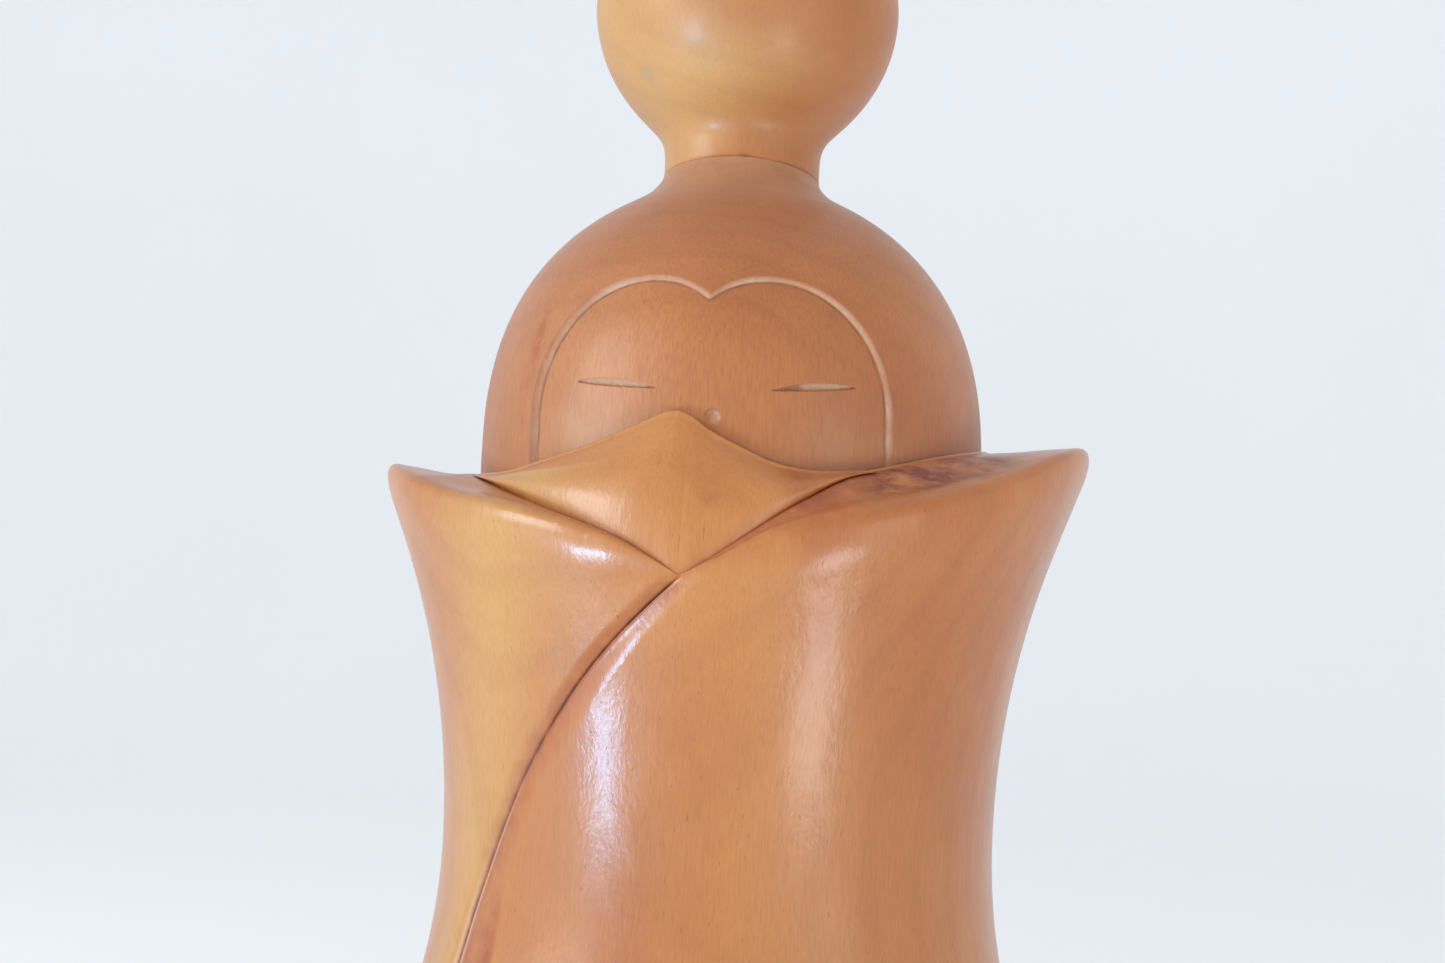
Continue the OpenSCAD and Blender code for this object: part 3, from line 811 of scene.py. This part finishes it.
def wood(name, pale, deep, amber, red, build_up_and_shade, stain, bare_and_highlight, pith, ring_gap, gloss, coat, coat_rough, sheen,
         pores, grain, rings):
    """Varnished wood: growth rings round a pith beside the axis, upright fibres, short dark pores, patches of
    colour, and the marks that each mesh carries for grooves, cuts without finish and stains; the groove marks
    also carry painted shade, and the pale wood marks painted highlights."""
    tree = Tree(name)
    # growth rings
    wobble = tree.noise(tree.stretch((1, 1, 0.25)), WOBBLE_SCALE, 2.0)
    across = tree.vector("MULTIPLY", tree.vector("SUBTRACT", tree.place, pith)[0], (1, 1, 0.1))
    from_pith = tree.vector("LENGTH", across[0])["Value"]
    far = tree.math("ADD", from_pith, tree.math("MULTIPLY", wobble, RING_WOBBLE))
    turn = tree.math("MULTIPLY", far, 2 * math.pi / ring_gap)
    late = tree.ramp(tree.math("MULTIPLY_ADD", tree.math("SINE", turn), 0.5, 0.5), 0.55, 1.0)
    # fibres, pores and patches
    fibre = tree.noise(tree.stretch((1, 1, 0.09)), FIBRE_SCALE, 4.0, 0.6)
    fine = tree.noise(tree.stretch((1, 1, 0.10), (0.3, 0.1, 0.7)), FIBRE_SCALE, 3.0, 0.6)
    pore = tree.ramp(tree.noise(tree.stretch((1, 1, 0.2), (0.7, 0.4, 0.2)), PORE_SCALE, 2.0, 0.5), 0.68, 0.76)
    patch = tree.noise(tree.stretch((1, 1, 0.5)), PATCH_SCALE, 3.0, 0.55, 0.4)
    body = tree.blend(tree.ramp(patch, 0.32, 0.68), deep, pale)
    body = tree.blend(tree.math("MULTIPLY", tree.mark("amber"), 0.8), body, amber)
    body = tree.blend(tree.math("MULTIPLY", late, rings), body, deep, "MULTIPLY")
    body = tree.blend(tree.ramp(fibre, 0.35, 0.75, 0.0, grain), body, deep, "MULTIPLY")
    body = tree.blend(tree.ramp(fine, 0.3, 0.7, 0.0, 0.2), body, bare_and_highlight, "SOFT_LIGHT")
    body = tree.blend(tree.math("MULTIPLY", pore, pores), body, build_up_and_shade)
    # build-up and painted shade in the grooves and gaps, red where it is thin, then stains, then wood without
    # finish and painted highlights
    groove = tree.mark("crease")
    cloud = tree.ramp(tree.noise(tree.place, CLOUD_SCALE, 4.0, 0.6), 0.3, 0.65, 0.6, 1.0)
    cloudy = tree.math("MULTIPLY", groove, cloud)
    body = tree.blend(tree.ramp(cloudy, 0.08, 0.5, 0.0, 0.75), body, red)
    body = tree.blend(tree.ramp(cloudy, 0.42, 0.9), body, build_up_and_shade)
    smudge = tree.ramp(tree.noise(tree.stretch((0.6, 0.6, 1.6)), SMUDGE_SCALE, 5.0, 0.72), 0.34, 0.60)
    body = tree.blend(tree.math("MULTIPLY", tree.mark("stain"), smudge), body, stain)
    bare_and_highlight_mask = tree.mark("bare_and_highlight")
    chip = tree.ramp(tree.noise(tree.place, CHIP_SCALE, 3.0, 0.7), 0.3, 0.6, 0.7, 1.0)
    body = tree.blend(tree.math("MULTIPLY", bare_and_highlight_mask, chip), body, bare_and_highlight)
    tree.put(body, tree.shader.inputs["Base Color"])
    # gloss: all the marks are duller than the finish
    uneven = tree.noise(tree.stretch((1, 1, 0.6)), SHEEN_SCALE, 4.0, 0.6)
    rough = tree.ramp(uneven, 0.3, 0.7, gloss, gloss + 0.1)
    for mark, share in ((bare_and_highlight_mask, 0.3), (groove, 0.12), (tree.mark("stain"), 0.35), (fibre, 0.06)):
        rough = tree.math("ADD", rough, tree.math("MULTIPLY", mark, share))
    tree.put(rough, tree.shader.inputs["Roughness"])
    # relief: the finish's own swells and ripples, and the fibres and pores under it
    slow = tree.bump(tree.noise(tree.stretch((1, 1, 0.55)), SWELL_SCALE, 3.0, 0.5), 0.0008, 0.13)
    ripples = tree.noise(tree.stretch((1, 1, 0.6), (0.2, 0.5, 0.1)), RIPPLE_SCALE, 2.0, 0.6)
    slow = tree.bump(ripples, 0.0001, 0.30, slow)
    strands = tree.bump(fibre, 0.0001, 0.22, slow)
    pits = tree.bump(tree.math("SUBTRACT", fine, pore), 0.00008, 0.30, strands)
    tree.put(pits, tree.shader.inputs["Normal"])
    tree.put(slow, tree.shader.inputs["Coat Normal"])
    tree.shader.inputs["Coat Weight"].default_value = coat
    tree.shader.inputs["Coat Roughness"].default_value = coat_rough
    tree.shader.inputs["Sheen Weight"].default_value = sheen
    tree.shader.inputs["Sheen Roughness"].default_value = 0.5
    tree.shader.inputs["IOR"].default_value = WOOD_IOR
    return tree.material


RAW_WOOD = rgb(214, 176, 138)
robe_wood = wood(
    "robe_wood", pale=rgb(191, 123, 59), deep=rgb(176, 103, 43), amber=rgb(200, 150, 80),
    build_up_and_shade=rgb(122, 60, 30), stain=rgb(116, 38, 2), red=rgb(164, 78, 26), bare_and_highlight=RAW_WOOD,
    pith=(0.012, 0.035, 0.0), ring_gap=0.0042,
    gloss=0.36, coat=0.6, coat_rough=0.21, sheen=0.02, pores=0.5, grain=0.18, rings=0.08)
head_wood = wood(
    "head_wood", pale=rgb(180, 110, 53), deep=rgb(166, 95, 42), amber=rgb(188, 120, 52),
    build_up_and_shade=rgb(104, 54, 30), stain=rgb(150, 66, 26), red=rgb(138, 76, 40), bare_and_highlight=rgb(193, 152, 118),
    pith=(0.004, 0.010, 0.0), ring_gap=0.0032,
    gloss=0.44, coat=0.30, coat_rough=0.32, sheen=0.12, pores=0.3, grain=0.26, rings=0.07)
topknot_wood = wood(
    "topknot_wood", pale=rgb(178, 107, 50), deep=rgb(162, 90, 37), amber=rgb(204, 158, 94),
    build_up_and_shade=rgb(140, 76, 34), stain=rgb(174, 136, 96), red=rgb(180, 104, 44), bare_and_highlight=RAW_WOOD,
    pith=(-0.006, 0.012, 0.0), ring_gap=0.0036,
    gloss=0.44, coat=0.3, coat_rough=0.28, sheen=0.06, pores=0.25, grain=0.12, rings=0.05)
peg_wood = wood(
    "peg_wood", pale=rgb(214, 182, 136), deep=rgb(196, 160, 112), amber=rgb(214, 180, 130),
    build_up_and_shade=rgb(140, 100, 64), stain=rgb(150, 120, 90), red=rgb(180, 140, 96), bare_and_highlight=RAW_WOOD,
    pith=(0.002, 0.003, 0.0), ring_gap=0.0022,
    gloss=0.55, coat=0.0, coat_rough=0.3, sheen=0.0, pores=0.4, grain=0.15, rings=0.25)

# ---- the pieces: how each is made, its body, the CAD node it replaces, its slot and its material ----
PIECES = [
    (make_robe, "robe", "robe", "robe_wood", robe_wood),
    (make_head, "head", "head", "head_wood", head_wood),
    (make_topknot, "head", "topknot", "topknot_wood", topknot_wood),
]
for make, body, node, slot, material in PIECES:
    piece = make()
    piece.data.materials.append(material)
    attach(piece, body)
    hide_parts(node)
for node in ("neck_peg", "topknot_dowel"):
    for peg_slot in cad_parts[node].material_slots:
        peg_slot.material = peg_wood

# ---- the camera: close to the doll, a little to its own left, looking slightly up ----
LENS = 50
SENSOR_WIDTH = 36
CLIP_START = 0.01
AIM_Z = 0.132
CAMERA_AWAY = 0.3706
CAMERA_AZIMUTH = 9.5
CAMERA_PITCH = 5.6
CAMERA_ROLL = 2.08
CAMERA_SHIFT = -0.005675


def add_camera():
    """A camera at its azimuth from -Y towards +X, tilted up by its pitch and then rolled."""
    a, p, roll = (math.radians(turn) for turn in (CAMERA_AZIMUTH, CAMERA_PITCH, CAMERA_ROLL))
    right = Vector((math.cos(a), math.sin(a), 0))
    up = Vector((math.sin(a) * math.sin(p), -math.cos(a) * math.sin(p), math.cos(p)))
    forward = Vector((-math.sin(a) * math.cos(p), math.cos(a) * math.cos(p), math.sin(p)))
    across = right * math.cos(roll) + up * math.sin(roll)
    upward = up * math.cos(roll) - right * math.sin(roll)
    place = Vector((0, 0, AIM_Z)) - forward * CAMERA_AWAY
    data = bpy.data.cameras.new("camera")
    data.lens = LENS
    data.sensor_width = SENSOR_WIDTH
    data.clip_start = CLIP_START
    data.shift_x = CAMERA_SHIFT
    camera = bpy.data.objects.new("camera", data)
    axes = Matrix((across, upward, -forward)).transposed()
    camera.matrix_world = Matrix.Translation(place) @ axes.to_4x4()
    bpy.context.scene.collection.objects.link(camera)
    bpy.context.scene.camera = camera


# ---- the studio ----
FLOOR_R = 1.2
SWEEP_R = 0.8
WALL_TOP = 1.3
FLOOR_COLUMNS = 96
SWEEP_ROWS = 18
FLOOR_PALE = (0.85, 0.87, 0.89, 1)
FLOOR_DEEP = (0.81, 0.83, 0.85, 1)
FLOOR_ROUGH = 0.8
GLOW_COLOUR = (0.88, 0.88, 0.90, 1)
FLOOR_GLOW = 0.18
SKY_COLOUR = (0.87, 0.89, 0.91, 1)
SKY_STRENGTH = 0.75
# Each light: name, azimuth from the camera's side, distance, height, width, length, power, colour, and the
# point that it faces. A card has no such point: it lies on the floor and the doll's finish mirrors it.
LIGHTS = [
    ("window", -62, 0.9, 0.40, 0.44, 0.42, 4.5, (0.88, 0.94, 1.0), (0, 0, 0.14)),
    ("fill", 45, 0.9, 0.22, 0.28, 0.40, 0.6, (1.0, 0.96, 0.92), (0, 0, 0.12)),
    ("left_card", -44, 0.405, 0.002, 0.07, 0.155, 2.1, (0.32, 0.64, 1.0), None),
    ("right_card", 33, 0.35, 0.002, 0.095, 0.22, 0.5, (0.9, 0.95, 1.0), None),
]


def add_floor():
    """A pale floor that curves up into a pale wall all round, far outside the camera's place."""
    floor = Tree("pale_floor")
    pale = floor.blend(floor.noise(floor.place, 3.0, 4.0), FLOOR_DEEP, FLOOR_PALE)
    floor.put(pale, floor.shader.inputs["Base Color"])
    floor.shader.inputs["Roughness"].default_value = FLOOR_ROUGH
    floor.shader.inputs["Emission Color"].default_value = GLOW_COLOUR
    floor.shader.inputs["Emission Strength"].default_value = FLOOR_GLOW
    turns = np.radians(np.linspace(0, 360, FLOOR_COLUMNS, endpoint=False))
    rise = np.radians(np.linspace(0, 90, SWEEP_ROWS + 1))
    outline = [(FLOOR_R + SWEEP_R * math.sin(a), SWEEP_R * (1 - math.cos(a))) for a in rise]
    outline.append((FLOOR_R + SWEEP_R, WALL_TOP))
    points = [(0, 0, 0)] + [(r * math.sin(a), -r * math.cos(a), z) for r, z in outline for a in turns]
    faces = []
    for i in range(FLOOR_COLUMNS):
        j = (i + 1) % FLOOR_COLUMNS
        faces.append((0, 1 + i, 1 + j))
        for low in range(1, len(points) - FLOOR_COLUMNS, FLOOR_COLUMNS):
            high = low + FLOOR_COLUMNS
            faces.append((low + i, high + i, high + j, low + j))
    mesh = bpy.data.meshes.new("floor")
    mesh.from_pydata(points, [], faces)
    mesh.polygons.foreach_set("use_smooth", [True] * len(mesh.polygons))
    mesh.materials.append(floor.material)
    obj = bpy.data.objects.new("floor", mesh)
    bpy.context.scene.collection.objects.link(obj)


def add_world():
    world = bpy.data.worlds.new("studio")
    world.use_nodes = True
    background = world.node_tree.nodes["Background"]
    background.inputs["Color"].default_value = SKY_COLOUR
    background.inputs["Strength"].default_value = SKY_STRENGTH
    bpy.context.scene.world = world


def add_light(name, azimuth, away, z, width, length, power, colour, aim):
    a = math.radians(CAMERA_AZIMUTH + azimuth)
    place = Vector((away * math.sin(a), -away * math.cos(a), z))
    data = bpy.data.lights.new(name, "AREA")
    data.shape = "ELLIPSE" if aim is None else "RECTANGLE"
    data.size = width
    data.size_y = length
    data.energy = power
    data.color = colour
    light = bpy.data.objects.new(name, data)
    if aim is None:
        # lying on the floor, facing up, with its length pointing at the doll
        light.rotation_euler = (math.pi, 0, a)
    else:
        light.rotation_euler = (Vector(aim) - place).to_track_quat("-Z", "Y").to_euler()
    light.location = place
    light.visible_camera = False
    bpy.context.scene.collection.objects.link(light)


add_camera()
add_floor()
add_world()
for light_settings in LIGHTS:
    add_light(*light_settings)
bpy.context.scene.view_settings.view_transform = "Standard"
